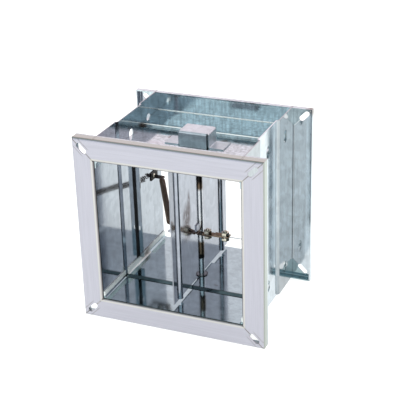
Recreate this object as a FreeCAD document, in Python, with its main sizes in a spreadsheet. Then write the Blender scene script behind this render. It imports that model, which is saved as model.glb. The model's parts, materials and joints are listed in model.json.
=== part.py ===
import FreeCAD, Part
import math
import os
import Sketcher

# Fire damper with a single pivoted blade in a flanged square duct section.
# Millimetres. X to the right, Y along the duct from the front flange to the rear one, Z up.
# The origin is at the bottom centre of the outer box.

DRIVING_SIZES = {
    "clear_width": 200.0,
    "clear_height": 200.0,
    "flange_width": 30.0,
    "casing_depth": 202.0,
    "casing_gauge": 1.5,
    "bend_radius": 1.5,
    "front_lip": 16.0,
    "rear_lip": 10.0,
    "band_start": 67.0,
    "band_length": 76.0,
    "band_step": 3.0,
    "panel_edge_rise": 9.5,
    "panel_edge_bend": 3.0,
    "panel_edge_foot": 8.0,
    "seam_gap": 0.3,
    "sheet_fit": 0.2,
    "corner_slot_length": 17.0,
    "corner_slot_width": 7.0,
    "corner_slot_inset": 16.5,
    "wall_hole_width": 12.0,
    "wall_hole_height": 17.0,
    "wall_hole_pitch": 61.0,
    "shaft_diameter": 10.0,
    "shaft_running_fit": 0.05,
    "shaft_above_clip": 5.0,
    "shaft_lower_length": 10.5,
    "shaft_chamfer": 0.6,
    "bush_wall": 1.6,
    "bush_flange_diameter": 18.0,
    "bush_flange_thickness": 1.0,
    "bush_tail": 3.0,
    "washer_thickness": 0.8,
    "clip_thickness": 1.0,
    "clip_width": 3.5,
    "clip_groove_depth": 0.5,
    "clip_mouth": 6.0,
    "end_float": 0.3,
    "blade_gauge": 1.5,
    "blade_side_gap": 2.7,
    "blade_end_gap": 2.0,
    "blade_seat_gap": 0.25,
    "bead_radius": 4.7,
    "bead_distance": 74.5,
    "groove_fit": 0.1,
    "stop_reach": 8.5,
    "stop_foot": 15.0,
    "stop_gauge": 1.5,
    "stop_slot_width": 2.0,
    "stop_slot_height": 7.0,
    "stop_slot_level": 88.0,
    "seal_thickness": 0.8,
    "seal_width": 4.0,
    "cover_length": 43.5,
    "cover_depth": 32.0,
    "cover_height": 21.0,
    "cover_gauge": 1.5,
    "cover_foot": 20.0,
    "cover_corner_gap": 1.0,
    "spring_level": 136.0,
    "spring_outer_diameter": 8.5,
    "spring_wire": 1.5,
    "spring_turns": 30.0,
    "spring_sides": 6.0,
    "spring_eye_neck": 3.0,
    "spring_wall_offset": 10.0,
    "spring_rear_inset": 23.0,
    "spring_blade_offset": 6.0,
    "spring_edge_inset": 14.3,
    "tab_gauge": 1.5,
    "tab_radius": 4.5,
    "hook_clearance": 0.3,
    "bracket_front_foot": 16.0,
    "bracket_rear_foot": 5.0,
    "bracket_foot_height": 12.0,
    "bracket_screw_diameter": 4.0,
    "bracket_screw_distance": 8.0,
    "bracket_screw_rise": 5.5,
    "lug_front_foot": 6.0,
    "lug_rear_foot": 6.0,
    "lug_foot_height": 12.0,
    "link_level": 103.0,
    "link_forward": 11.5,
    "link_width": 10.0,
    "link_gauge": 1.0,
    "link_solder_gap": 0.2,
    "link_inner_start": 9.5,
    "link_inner_end": 35.5,
    "link_outer_start": 26.0,
    "link_outer_end": 48.0,
    "arm_gauge": 1.5,
    "arm_width": 10.0,
    "arm_end": 23.0,
    "arm_foot_height": 14.0,
    "inner_bolt_distance": 16.0,
    "outer_bolt_distance": 41.6,
    "bolt_diameter": 6.0,
    "bolt_fit": 0.15,
    "bolt_across_flats": 10.0,
    "bolt_head_height": 4.0,
    "bolt_tip": 2.0,
    "nut_height": 5.0,
    "link_washer_diameter": 12.0,
    "link_washer_thickness": 1.0,
    "wire_diameter": 1.2,
    "wire_eye_neck": 2.0,
    "wire_hook_drop": 5.0,
    "wire_hook_radius": 2.0,
    "anchor_reach": 12.0,
    "anchor_hole_offset": 8.0,
    "anchor_foot_height": 14.0,
}

OVERSHOOT = 2.0
EYE_OPEN_ANGLE = 300
EYE_SIDES = 16
ELBOW_SIDES = 4
SPRING_SECTION_SIDES = 4
WIRE_SECTION_SIDES = 6
MITRED_CORNERS = 1
DIAGONAL = math.sqrt(0.5)


class Size:
    """A value together with the sheet expression that gives it."""

    def __init__(self, value, text):
        self.value = value
        self.text = text

    def __add__(self, other):
        other = as_size(other)
        return Size(self.value + other.value, f"({self.text} + {other.text})")

    def __radd__(self, other):
        return as_size(other) + self

    def __sub__(self, other):
        other = as_size(other)
        return Size(self.value - other.value, f"({self.text} - {other.text})")

    def __rsub__(self, other):
        return as_size(other) - self

    def __mul__(self, other):
        other = as_size(other)
        return Size(self.value * other.value, f"({self.text} * {other.text})")

    def __rmul__(self, other):
        return as_size(other) * self

    def __truediv__(self, other):
        other = as_size(other)
        return Size(self.value / other.value, f"({self.text} / {other.text})")

    def __neg__(self):
        return self * -1


def as_size(number):
    if isinstance(number, Size):
        return number
    return Size(float(number), f"({float(number)})")


def root(size):
    return Size(math.sqrt(size.value), f"sqrt({size.text})")


doc = FreeCAD.newDocument("fire_damper")
sheet = doc.addObject("Spreadsheet::Sheet", "sizes")
given = {}
for row, (word, number) in enumerate(DRIVING_SIZES.items(), start=1):
    sheet.set(f"A{row}", word)
    sheet.set(f"B{row}", str(number))
    sheet.setAlias(f"B{row}", word)
    given[word] = Size(number, f"sizes.{word}")
doc.recompute()


# Sketch helpers

def fix_point(sketch, curve, point, x, y):
    """Hold one point of a curve at its distances from the sketch's origin."""
    for kind, size in (("DistanceX", x), ("DistanceY", y)):
        size = as_size(size)
        index = sketch.addConstraint(Sketcher.Constraint(kind, -1, 1, curve, point, size.value))
        sketch.setExpression(f"Constraints[{index}]", size.text)


def fix_centre(sketch, curve, kind, size):
    size = as_size(size)
    index = sketch.addConstraint(Sketcher.Constraint(kind, -1, 1, curve, 3, size.value))
    sketch.setExpression(f"Constraints[{index}]", size.text)


def vector(x, y):
    return FreeCAD.Vector(as_size(x).value, as_size(y).value, 0)


def outline(sketch, corners):
    """Closed run of straight sides. A corner (x, y, radius) is a square bend with that radius."""
    count = len(corners)
    spans = []
    for index, corner in enumerate(corners):
        x, y = as_size(corner[0]), as_size(corner[1])
        if len(corner) == 2:
            spans.append(((x, y), None, None, (x, y)))
            continue
        radius = as_size(corner[2])
        before = corners[index - 1]
        after = corners[(index + 1) % count]
        in_x = x.value - as_size(before[0]).value
        in_y = y.value - as_size(before[1]).value
        out_x = as_size(after[0]).value - x.value
        out_y = as_size(after[1]).value - y.value
        if abs(in_x) > abs(in_y):
            sign_in = math.copysign(1, in_x)
            sign_out = math.copysign(1, out_y)
            start = (x - sign_in * radius, y)
            end = (x, y + sign_out * radius)
            centre = (start[0], end[1])
        else:
            sign_in = math.copysign(1, in_y)
            sign_out = math.copysign(1, out_x)
            start = (x, y - sign_in * radius)
            end = (x + sign_out * radius, y)
            centre = (end[0], start[1])
        corner_point = vector(x, y)
        middle = vector(*centre) + (corner_point - vector(*centre)) * DIAGONAL
        spans.append((start, middle, centre, end))
    curves = []
    for index, span in enumerate(spans):
        following = spans[(index + 1) % count]
        line = sketch.addGeometry(Part.LineSegment(vector(*span[3]), vector(*following[0])))
        fix_point(sketch, line, 1, *span[3])
        if following[1] is not None:
            fix_point(sketch, line, 2, *following[0])
        curves.append(line)
    for index, span in enumerate(spans):
        before = curves[index - 1]
        after = curves[index]
        if span[1] is None:
            sketch.addConstraint(Sketcher.Constraint("Coincident", before, 2, after, 1))
        else:
            add_arc(sketch, span[0], span[1], span[3], span[2], "DistanceX", (before, 2), (after, 1))


def add_arc(sketch, start, middle, end, centre, held, first, last):
    """Arc whose two ends lie on the given curve ends and whose centre is held along one axis."""
    arc = sketch.addGeometry(Part.Arc(vector(*start), middle, vector(*end)))
    begins_at_start = sketch.getPoint(arc, 1).distanceToPoint(vector(*start)) < 1e-6
    ends = (1, 2) if begins_at_start else (2, 1)
    sketch.addConstraint(Sketcher.Constraint("Coincident", arc, ends[0], *first))
    sketch.addConstraint(Sketcher.Constraint("Coincident", arc, ends[1], *last))
    fix_centre(sketch, arc, held, centre[0] if held == "DistanceX" else centre[1])


def rectangle(sketch, x_low, x_high, y_low, y_high):
    outline(sketch, [(x_low, y_low), (x_high, y_low), (x_high, y_high), (x_low, y_high)])


def round_hole(sketch, x, y, diameter):
    diameter = as_size(diameter)
    circle = sketch.addGeometry(Part.Circle(vector(x, y), FreeCAD.Vector(0, 0, 1), diameter.value / 2))
    fix_point(sketch, circle, 3, x, y)
    index = sketch.addConstraint(Sketcher.Constraint("Diameter", circle, diameter.value))
    sketch.setExpression(f"Constraints[{index}]", diameter.text)


def obround(sketch, x, y, length, width, along_x, along_y):
    """Slot with round ends; along_x and along_y give the unit direction of its length."""
    x, y = as_size(x), as_size(y)
    radius = as_size(width) / 2
    reach = as_size(length) / 2 - radius
    rails = []
    for side in (1, -1):
        near = (x - side * along_x * reach - side * along_y * radius,
                y - side * along_y * reach + side * along_x * radius)
        far = (x + side * along_x * reach - side * along_y * radius,
               y + side * along_y * reach + side * along_x * radius)
        rail = sketch.addGeometry(Part.LineSegment(vector(*near), vector(*far)))
        fix_point(sketch, rail, 1, *near)
        fix_point(sketch, rail, 2, *far)
        rails.append((rail, near, far))
    held = "DistanceY" if abs(along_y) > abs(along_x) else "DistanceX"
    for side, (rail, near, far), (other, other_near, other_far) in (
            (1, rails[0], rails[1]), (-1, rails[1], rails[0])):
        centre = (x + side * along_x * reach, y + side * along_y * reach)
        tip = vector(*centre) + FreeCAD.Vector(along_x, along_y, 0) * side * radius.value
        add_arc(sketch, far, tip, other_near, centre, held, (rail, 2), (other, 1))


def hexagon(sketch, x, y, across_flats):
    """Hexagon with two flats facing along y."""
    half = as_size(across_flats) / 2
    long_arm = half * (2 / math.sqrt(3))
    short_arm = half * (1 / math.sqrt(3))
    outline(sketch, [(x + long_arm, y), (x + short_arm, y + half), (x - short_arm, y + half),
                     (x - long_arm, y), (x - short_arm, y - half), (x + short_arm, y - half)])


# Feature helpers

PLANE_DIRECTION = {"XY_Plane": 1, "XZ_Plane": -1, "YZ_Plane": 1}
sub_parts = []


def new_body(name):
    body = doc.addObject("PartDesign::Body", name)
    body.Label = name
    sub_parts.append(body)
    doc.recompute()
    return body


def new_sketch(body, name, role, across):
    """Sketch on one of the body's own planes, moved across it by a size."""
    sketch = body.newObject("Sketcher::SketchObject", name)
    plane = [feature for feature in body.Origin.OriginFeatures if feature.Role == role][0]
    sketch.AttachmentSupport = [(plane, "")]
    sketch.MapMode = "FlatFace"
    shift = PLANE_DIRECTION[role] * as_size(across)
    sketch.setExpression("AttachmentOffset.Base.z", shift.text)
    return sketch


def extrude(body, kind, name, role, low, high, draw):
    """Pad or pocket of a drawn outline between two levels across the plane."""
    low, high = as_size(low), as_size(high)
    sketch = new_sketch(body, name + "_sketch", role, (low + high) / 2)
    draw(sketch)
    feature = body.newObject("PartDesign::" + kind, name)
    feature.Profile = sketch
    feature.SideType = "Symmetric"
    feature.setExpression("Length", (high - low).text)
    body.Tip = feature
    doc.recompute()
    return feature


def pad(body, name, role, low, high, draw):
    return extrude(body, "Pad", name, role, low, high, draw)


def pocket(body, name, role, low, high, draw):
    before = body.Shape.Volume
    feature = extrude(body, "Pocket", name, role, low, high, draw)
    if body.Shape.Volume > before - 1e-6:
        raise RuntimeError(f"{body.Label}: {name} cuts nothing")
    return feature


def turned(body, name, x, y, corners):
    """Piece of revolution about the upright line at x, y. Corners are (radius, level)."""
    sketch = new_sketch(body, name + "_sketch", "XZ_Plane", y)
    sketch.setExpression("AttachmentOffset.Base.x", as_size(x).text)
    outline(sketch, corners)
    feature = body.newObject("PartDesign::Revolution", name)
    feature.Profile = sketch
    feature.ReferenceAxis = (sketch, ["V_Axis"])
    feature.Angle = 360
    body.Tip = feature
    doc.recompute()
    return feature


# Places shared by several pieces

gauge = given["casing_gauge"]
bend = given["bend_radius"]
half_width = given["clear_width"] / 2
half_height = given["clear_height"] / 2
flange = given["flange_width"]
front = -given["casing_depth"] / 2
rear = given["casing_depth"] / 2
middle = half_height + flange
seam = given["seam_gap"]
fit = given["sheet_fit"]
step = given["band_step"]
band_front = front + given["band_start"]
band_rear = band_front + given["band_length"]
pivot = (band_front + band_rear) / 2
wall_face = half_width - step
floor_face = middle - half_height + step
ceiling_face = middle + half_height - step
panel_top = ceiling_face + gauge
panel_bottom = floor_face - gauge
shaft_radius = given["shaft_diameter"] / 2
bore_radius = shaft_radius + given["shaft_running_fit"]
barrel_radius = bore_radius + given["bush_wall"]
blade_half_gauge = given["blade_gauge"] / 2
blade_half_width = wall_face - given["blade_side_gap"]
blade_bottom = floor_face + given["blade_end_gap"]
blade_top = ceiling_face - given["blade_end_gap"]
wall_piece_low = floor_face + given["panel_edge_rise"] + fit
wall_piece_high = ceiling_face - given["panel_edge_rise"] - fit


# Casing: two side walls and two panels, each one bent sheet with a flange and a lip at both ends

def bent_sheet(sketch, clear, place):
    """Section of a casing sheet. place turns (distance from the duct's axis, y) into a sketch point."""
    outer_bend = bend + gauge
    tip = clear + flange
    front_lip = front + given["front_lip"]
    rear_lip = rear - given["rear_lip"]
    offset = gauge * (math.sqrt(2) - 1)
    section = [
        (clear, front, outer_bend), (tip, front, outer_bend),
        (tip, front_lip), (tip - gauge, front_lip),
        (tip - gauge, front + gauge, bend), (clear + gauge, front + gauge, bend),
        (clear + gauge, band_front + offset), (clear + gauge - step, band_front + step + offset),
        (clear + gauge - step, band_rear - step - offset), (clear + gauge, band_rear - offset),
        (clear + gauge, rear - gauge, bend), (tip - gauge, rear - gauge, bend),
        (tip - gauge, rear_lip), (tip, rear_lip),
        (tip, rear, outer_bend), (clear, rear, outer_bend),
        (clear, band_rear), (clear - step, band_rear - step),
        (clear - step, band_front + step), (clear, band_front),
    ]
    corners = []
    for corner in section:
        corners.append(place(corner[0], corner[1]) + tuple(corner[2:]))
    outline(sketch, corners)


def corner_slots(sketch, sides):
    """Slots along the diagonals of the flange corners, half in each of the two mitred flanges."""
    for side, level in sides:
        obround(sketch, side * (half_width + given["corner_slot_inset"]),
                middle + level * (half_height + given["corner_slot_inset"]),
                given["corner_slot_length"], given["corner_slot_width"],
                side * DIAGONAL, level * DIAGONAL)


def side_wall(name, side):
    body = new_body(name)
    pad(body, name + "_sheet", "XY_Plane", 0, 2 * middle,
        lambda sketch: bent_sheet(sketch, half_width, lambda across, along: (side * across, along)))

    def mitres(sketch):
        inner = gauge + seam
        for level in (1, -1):
            outline(sketch, [
                (side * (half_width + inner), middle + level * (half_height + inner - seam)),
                (side * (half_width + flange + OVERSHOOT),
                 middle + level * (half_height + flange + OVERSHOOT - seam)),
                (side * (half_width + inner), middle + level * (half_height + flange + OVERSHOOT - seam))])

    def reliefs(sketch):
        for level in (1, -1):
            start = middle + level * half_height
            end = middle + level * (half_height + flange + OVERSHOOT)
            for face, inwards in ((front, 1), (rear, -1)):
                rectangle(sketch, face - inwards * OVERSHOOT, face + inwards * (gauge + seam), start, end)

    def holes(sketch):
        for level in (1, -1):
            for along in (pivot, pivot + given["wall_hole_pitch"]):
                obround(sketch, along, middle + level * (half_height - step / 2),
                        given["wall_hole_height"], given["wall_hole_width"], 0, 1)

    cut_low = half_width - step - OVERSHOOT
    cut_high = half_width + gauge + seam
    across = (cut_low, cut_high) if side > 0 else (-cut_high, -cut_low)
    pocket(body, name + "_mitres", "XZ_Plane", front - OVERSHOOT, rear + OVERSHOOT, mitres)
    pocket(body, name + "_reliefs", "YZ_Plane", across[0], across[1], reliefs)
    pocket(body, name + "_slots", "XZ_Plane", front - OVERSHOOT, rear + OVERSHOOT,
           lambda sketch: corner_slots(sketch, ((side, 1), (side, -1))))
    pocket(body, name + "_holes", "YZ_Plane", across[0], across[1], holes)


def panel(name, level):
    body = new_body(name)
    tip = half_width + flange

    def place(across, along):
        return (along, middle + level * across)

    pad(body, name + "_sheet", "YZ_Plane", -tip, tip,
        lambda sketch: bent_sheet(sketch, half_height, place))

    def mitres(sketch):
        inner = gauge + seam
        for side in (1, -1):
            outline(sketch, [
                (side * (half_width - fit), middle + level * (half_height - step - OVERSHOOT)),
                (side * (half_width - fit), middle + level * (half_height + inner)),
                (side * (half_width + inner), middle + level * (half_height + inner)),
                (side * (tip + OVERSHOOT), middle + level * (half_height + flange + OVERSHOOT)),
                (side * (tip + OVERSHOOT), middle + level * (half_height - step - OVERSHOOT))])

    def lip_slits(sketch):
        for side in (1, -1):
            low, high = side * (half_width - fit), side * (half_width + gauge + fit)
            rectangle(sketch, low, high, front + gauge, front + given["front_lip"] + OVERSHOOT)
            rectangle(sketch, low, high, rear - given["rear_lip"] - OVERSHOOT, rear - gauge)

    def band_edges(sketch):
        for side in (1, -1):
            rectangle(sketch, side * (wall_face - fit), side * (half_width + OVERSHOOT),
                      band_front - fit, band_rear + fit)

    def upturned_edge(side, raised, run, low_end, high_end):
        """One run of the panel's edge, bent up inside the side wall; raised is the band's step or nothing."""
        face = half_height - raised
        inner = half_width - raised - fit - gauge
        outer = half_width - raised - fit
        foot = half_width - raised - given["panel_edge_foot"]
        edge = face - given["panel_edge_rise"]

        def section(sketch):
            corners = [(foot, face), (inner, face, given["panel_edge_bend"]), (inner, edge), (outer, edge),
                       (outer, face + gauge), (foot, face + gauge)]
            outline(sketch, [(side * across, middle + level * along) + tuple(radius)
                             for across, along, *radius in corners])

        pad(body, f"{name}_{run}_edge", "XZ_Plane", low_end, high_end, section)

    sheet_levels = (middle + level * (half_height - step - OVERSHOOT),
                    middle + level * (half_height + gauge + OVERSHOOT))
    lip_levels = (middle + level * (half_height + flange - gauge - bend - OVERSHOOT),
                  middle + level * (half_height + flange + OVERSHOOT))
    low, high = sheet_levels if level > 0 else sheet_levels[::-1]
    lip_low, lip_high = lip_levels if level > 0 else lip_levels[::-1]
    pocket(body, name + "_mitres", "XZ_Plane", front - OVERSHOOT, rear + OVERSHOOT, mitres)
    pocket(body, name + "_lip_slits", "XY_Plane", lip_low, lip_high, lip_slits)
    pocket(body, name + "_band_edges", "XY_Plane", low, high, band_edges)
    pocket(body, name + "_slots", "XZ_Plane", front - OVERSHOOT, rear + OVERSHOOT,
           lambda sketch: corner_slots(sketch, ((1, level), (-1, level))))
    pocket(body, name + "_shaft_hole", "XY_Plane", low, high,
           lambda sketch: round_hole(sketch, 0, pivot, 2 * (barrel_radius + given["shaft_running_fit"])))
    for side, word in ((-1, "left"), (1, "right")):
        upturned_edge(side, 0, word + "_front", front + gauge + bend, band_front)
        upturned_edge(side, step, word + "_band", band_front + step, band_rear - step)
        upturned_edge(side, 0, word + "_rear", band_rear, rear - gauge - bend)


side_wall("left_side_wall", -1)
side_wall("right_side_wall", 1)
panel("top_panel", 1)
panel("bottom_panel", -1)


# Blade stops and seals: an angle behind the left edge and one before the right edge of the closed blade

def stop_angle(name, side):
    """The leg's seat faces the closed blade, and its foot lies on the wall, away from the blade."""
    body = new_body(name)
    seat = pivot - side * (blade_half_gauge + given["blade_seat_gap"])
    thick = given["stop_gauge"]

    def section(sketch):
        outline(sketch, [
            (side * wall_face, seat), (side * (wall_face - given["stop_reach"]), seat),
            (side * (wall_face - given["stop_reach"]), seat - side * thick),
            (side * (wall_face - thick), seat - side * thick, bend),
            (side * (wall_face - thick), seat - side * given["stop_foot"]),
            (side * wall_face, seat - side * given["stop_foot"])])

    pad(body, name + "_bar", "XY_Plane", wall_piece_low, wall_piece_high, section)
    if side < 0:
        pocket(body, name + "_slot", "XZ_Plane", seat - OVERSHOOT / 2, seat + thick + OVERSHOOT / 2,
               lambda sketch: obround(sketch, -(wall_face - given["stop_reach"] / 2),
                                      given["stop_slot_level"], given["stop_slot_height"],
                                      given["stop_slot_width"], 0, 1))


def seal_strip(name, side):
    """Swelling strip on the wall beside the closed blade's edge, against the stop."""
    body = new_body(name)
    seat = pivot - side * (blade_half_gauge + given["blade_seat_gap"])
    inner = side * (wall_face - given["seal_thickness"])
    pad(body, name + "_strip", "XY_Plane", wall_piece_low, wall_piece_high,
        lambda sketch: rectangle(sketch, inner, side * wall_face, seat, seat + side * given["seal_width"]))


stop_angle("left_stop_angle", -1)
stop_angle("right_stop_angle", 1)
seal_strip("left_seal_strip", -1)
seal_strip("right_seal_strip", 1)


# Cover box over the shaft's upper end: a hat section with two feet, and two flaps bent down

def cover_box():
    body = new_body("cover_box")
    thick = given["cover_gauge"]
    half_length = given["cover_length"] / 2
    half_depth = given["cover_depth"] / 2
    top = panel_top + given["cover_height"]
    foot = half_length + given["cover_foot"]
    outer_bend = bend + thick

    def hat(sketch):
        outline(sketch, [
            (-half_length, top, outer_bend), (half_length, top, outer_bend),
            (half_length, panel_top + thick, bend), (foot, panel_top + thick),
            (foot, panel_top), (half_length - thick, panel_top, outer_bend),
            (half_length - thick, top - thick, bend), (-half_length + thick, top - thick, bend),
            (-half_length + thick, panel_top, outer_bend), (-foot, panel_top),
            (-foot, panel_top + thick), (-half_length, panel_top + thick, bend)])

    def flaps(sketch):
        low, high = pivot - half_depth, pivot + half_depth
        base = panel_top + fit
        outline(sketch, [
            (low, base), (low, top, outer_bend), (high, top, outer_bend), (high, base),
            (high - thick, base), (high - thick, top - thick, bend),
            (low + thick, top - thick, bend), (low + thick, base)])

    pad(body, "cover_hat", "XZ_Plane", pivot - half_depth + outer_bend, pivot + half_depth - outer_bend, hat)
    flap_reach = half_length - thick - given["cover_corner_gap"]
    pad(body, "cover_flaps", "YZ_Plane", -flap_reach, flap_reach, flaps)


cover_box()


# Shaft and its bearings

washer_seat = panel_top + given["bush_flange_thickness"]
upper_clip_low = washer_seat + given["washer_thickness"] + given["end_float"]
upper_clip_high = upper_clip_low + given["clip_thickness"]
shaft_top = upper_clip_high + given["shaft_above_clip"]
bush_end = panel_bottom - given["bush_tail"]
lower_clip_high = bush_end - given["end_float"]
lower_clip_low = lower_clip_high - given["clip_thickness"]
shaft_bottom = panel_bottom - given["shaft_lower_length"]
groove_radius = shaft_radius - given["clip_groove_depth"]


def shaft():
    body = new_body("shaft")
    chamfer = given["shaft_chamfer"]
    play = given["shaft_running_fit"]
    turned(body, "shaft_bar", 0, pivot, [
        (0, shaft_bottom), (shaft_radius - chamfer, shaft_bottom), (shaft_radius, shaft_bottom + chamfer),
        (shaft_radius, lower_clip_low - play), (groove_radius, lower_clip_low - play),
        (groove_radius, lower_clip_high + play), (shaft_radius, lower_clip_high + play),
        (shaft_radius, upper_clip_low - play), (groove_radius, upper_clip_low - play),
        (groove_radius, upper_clip_high + play), (shaft_radius, upper_clip_high + play),
        (shaft_radius, shaft_top - chamfer), (shaft_radius - chamfer, shaft_top), (0, shaft_top)])


def bush(name, flange_low, flange_high, barrel_end):
    """Flanged bush; the barrel runs from the flange through the panel to barrel_end."""
    body = new_body(name)
    rim = given["bush_flange_diameter"] / 2
    turned(body, name + "_turning", 0, pivot, [
        (bore_radius, barrel_end), (barrel_radius, barrel_end), (barrel_radius, flange_low),
        (rim, flange_low), (rim, flange_high), (bore_radius, flange_high)])


def retaining_clip(name, low, high):
    """Spring ring in the shaft's groove, open on one side."""
    body = new_body(name)
    inner = groove_radius + given["shaft_running_fit"]
    outer = groove_radius + given["clip_width"]
    half_mouth = given["clip_mouth"] / 2
    turned(body, name + "_ring", 0, pivot, [(inner, low), (outer, low), (outer, high), (inner, high)])
    pocket(body, name + "_mouth", "XY_Plane", low - OVERSHOOT, high + OVERSHOOT,
           lambda sketch: rectangle(sketch, 0, outer + OVERSHOOT, pivot - half_mouth, pivot + half_mouth))


shaft()
bush("upper_bush", panel_top, washer_seat, ceiling_face)
bush("lower_bush", floor_face, floor_face + given["bush_flange_thickness"], bush_end)
thrust_washer = new_body("thrust_washer")
turned(thrust_washer, "thrust_washer_ring", 0, pivot, [
    (bore_radius, washer_seat), (given["bush_flange_diameter"] / 2, washer_seat),
    (given["bush_flange_diameter"] / 2, washer_seat + given["washer_thickness"]),
    (bore_radius, washer_seat + given["washer_thickness"])])
retaining_clip("upper_retaining_clip", upper_clip_low, upper_clip_high)
retaining_clip("lower_retaining_clip", lower_clip_low, lower_clip_high)


# Blade: one sheet with two pressed beads, formed round the back of the shaft

def blade_plate():
    body = new_body("blade_plate")
    half = blade_half_gauge
    bead = given["bead_radius"]
    channel = shaft_radius + given["groove_fit"]

    def section(sketch):
        """Right face from the front edge to the rear one, then the left face back again."""
        right, left = [], []
        for centre, side, outer in ((pivot - given["bead_distance"], 1, bead),
                                    (pivot, -1, channel + given["blade_gauge"]),
                                    (pivot + given["bead_distance"], 1, bead)):
            inner = outer - given["blade_gauge"]
            right.append((centre, side, outer if side > 0 else inner))
            left.append((centre, side, inner if side > 0 else outer))
        edges = []
        for face, rounds in ((half, right), (-half, left)):
            ends = [(face, pivot - blade_half_width)]
            for centre, side, radius in rounds:
                chord = root(radius * radius - half * half)
                ends += [(face, centre - chord), (face, centre + chord)]
            ends.append((face, pivot + blade_half_width))
            lines = []
            for index in range(0, len(ends), 2):
                start, end = ends[index], ends[index + 1]
                line = sketch.addGeometry(Part.LineSegment(vector(*start), vector(*end)))
                fix_point(sketch, line, 1, *start)
                fix_point(sketch, line, 2, *end)
                lines.append(line)
            for index, (centre, side, radius) in enumerate(rounds):
                tip = FreeCAD.Vector(side * radius.value, centre.value, 0)
                add_arc(sketch, ends[2 * index + 1], tip, ends[2 * index + 2], (as_size(0), centre),
                        "DistanceX", (lines[index], 2), (lines[index + 1], 1))
            edges.append(lines)
        for position, point in ((0, 1), (-1, 2)):
            first, second = edges[0][position], edges[1][position]
            line = sketch.addGeometry(Part.LineSegment(sketch.getPoint(first, point),
                                                       sketch.getPoint(second, point)))
            sketch.addConstraint(Sketcher.Constraint("Coincident", line, 1, first, point))
            sketch.addConstraint(Sketcher.Constraint("Coincident", line, 2, second, point))

    pad(body, "blade_sheet", "XY_Plane", blade_bottom, blade_top, section)


blade_plate()


# Closing spring: a drawn-out coil between a bracket on the left wall and a lug on the blade

spring_level = given["spring_level"]
wall_hook_x = -(half_width - given["spring_wall_offset"])
wall_hook_y = rear - given["spring_rear_inset"]
blade_hook_x = -given["spring_blade_offset"]
blade_hook_y = pivot - blade_half_width + given["spring_edge_inset"]


def hook_tab(body, name, base_x, hook_x, hook_y):
    """Upright foot against a face at base_x, with a round-ended tab that carries the spring's eye."""
    thick = given["tab_gauge"]
    low = spring_level - thick / 2
    side = math.copysign(1, (hook_x - base_x).value)
    face = base_x + side * thick
    across = (base_x, face) if side > 0 else (face, base_x)
    pad(body, name + "_foot", "YZ_Plane", across[0], across[1],
        lambda sketch: rectangle(sketch, hook_y - given[name + "_front_foot"],
                                 hook_y + given[name + "_rear_foot"],
                                 low, low + given[name + "_foot_height"]))
    radius = given["tab_radius"]
    pad(body, name + "_tab", "XY_Plane", low, low + thick,
        lambda sketch: rectangle(sketch, base_x, hook_x, hook_y - radius, hook_y + radius))
    pad(body, name + "_nose", "XY_Plane", low, low + thick,
        lambda sketch: round_hole(sketch, hook_x, hook_y, 2 * radius))
    pocket(body, name + "_hole", "XY_Plane", low - OVERSHOOT, low + thick + OVERSHOOT,
           lambda sketch: round_hole(sketch, hook_x, hook_y, given["spring_wire"] + 2 * given["hook_clearance"]))


def ring_points(centre, radius, first, last, sides, along, across):
    """Points round part of a ring, from one angle to another in degrees, in the plane of two directions."""
    points = []
    for count in range(sides + 1):
        angle = math.radians(first + (last - first) * count / sides)
        points.append(centre + along * radius * math.cos(angle) + across * radius * math.sin(angle))
    return points


def bent_wire(name, points, diameter, sides):
    """Wire with a section of a few sides that follows straight runs from point to point."""
    tangent = (points[1] - points[0]).normalize()
    helper = FreeCAD.Vector(0, 0, 1) if abs(tangent.z) < 0.9 else FreeCAD.Vector(0, 1, 0)
    across = tangent.cross(helper).normalize()
    section = Part.makePolygon(ring_points(points[0], diameter / 2, 0, 360, sides, across, tangent.cross(across)))
    wire = doc.addObject("Part::Feature", name)
    wire.Label = name
    wire.Shape = Part.makePolygon(points).makePipeShell([section], True, False, MITRED_CORNERS)
    sub_parts.append(wire)
    return wire


def closing_spring():
    """Coil on its own Z axis with an eye at each end, then laid from the bracket to the lug."""
    diameter = given["spring_wire"].value
    radius = (given["spring_outer_diameter"].value - diameter) / 2
    start = FreeCAD.Vector(wall_hook_x.value, wall_hook_y.value, spring_level.value)
    end = FreeCAD.Vector(blade_hook_x.value, blade_hook_y.value, spring_level.value)
    length = start.distanceToPoint(end)
    neck = 2 * radius + given["spring_eye_neck"].value
    turns = int(given["spring_turns"].value)
    sides = int(given["spring_sides"].value)
    out, up = FreeCAD.Vector(1, 0, 0), FreeCAD.Vector(0, 0, 1)
    first_eye = ring_points(up * radius, radius, EYE_OPEN_ANGLE, 0, EYE_SIDES, out, -up)
    last_eye = ring_points(up * (length - radius), radius, 0, EYE_OPEN_ANGLE, EYE_SIDES, out, up)
    coil = []
    for count in range(turns * sides + 1):
        angle = 2 * math.pi * count / sides
        level = neck + (length - 2 * neck) * count / (turns * sides)
        coil.append(FreeCAD.Vector(radius * math.cos(angle), radius * math.sin(angle), level))
    spring = bent_wire("closing_spring", first_eye + coil + last_eye, diameter, SPRING_SECTION_SIDES)
    lay = FreeCAD.Rotation(up, end - start)
    twist = FreeCAD.Rotation(lay.multVec(FreeCAD.Vector(0, 1, 0)), (end - start).cross(up))
    spring.Placement = FreeCAD.Placement(start, twist.multiply(lay))


spring_bracket = new_body("spring_bracket")
hook_tab(spring_bracket, "bracket", -half_width, wall_hook_x, wall_hook_y)
pocket(spring_bracket, "bracket_screw_hole", "YZ_Plane",
       -half_width - OVERSHOOT, -half_width + given["tab_gauge"] + OVERSHOOT,
       lambda sketch: round_hole(sketch, wall_hook_y - given["bracket_screw_distance"],
                                 spring_level + given["bracket_screw_rise"], given["bracket_screw_diameter"]))
spring_lug = new_body("spring_lug")
hook_tab(spring_lug, "lug", -blade_half_gauge, blade_hook_x, blade_hook_y)
closing_spring()


# Fusible link: two soldered halves bolted between the blade's arm and a wire to the right wall

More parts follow.
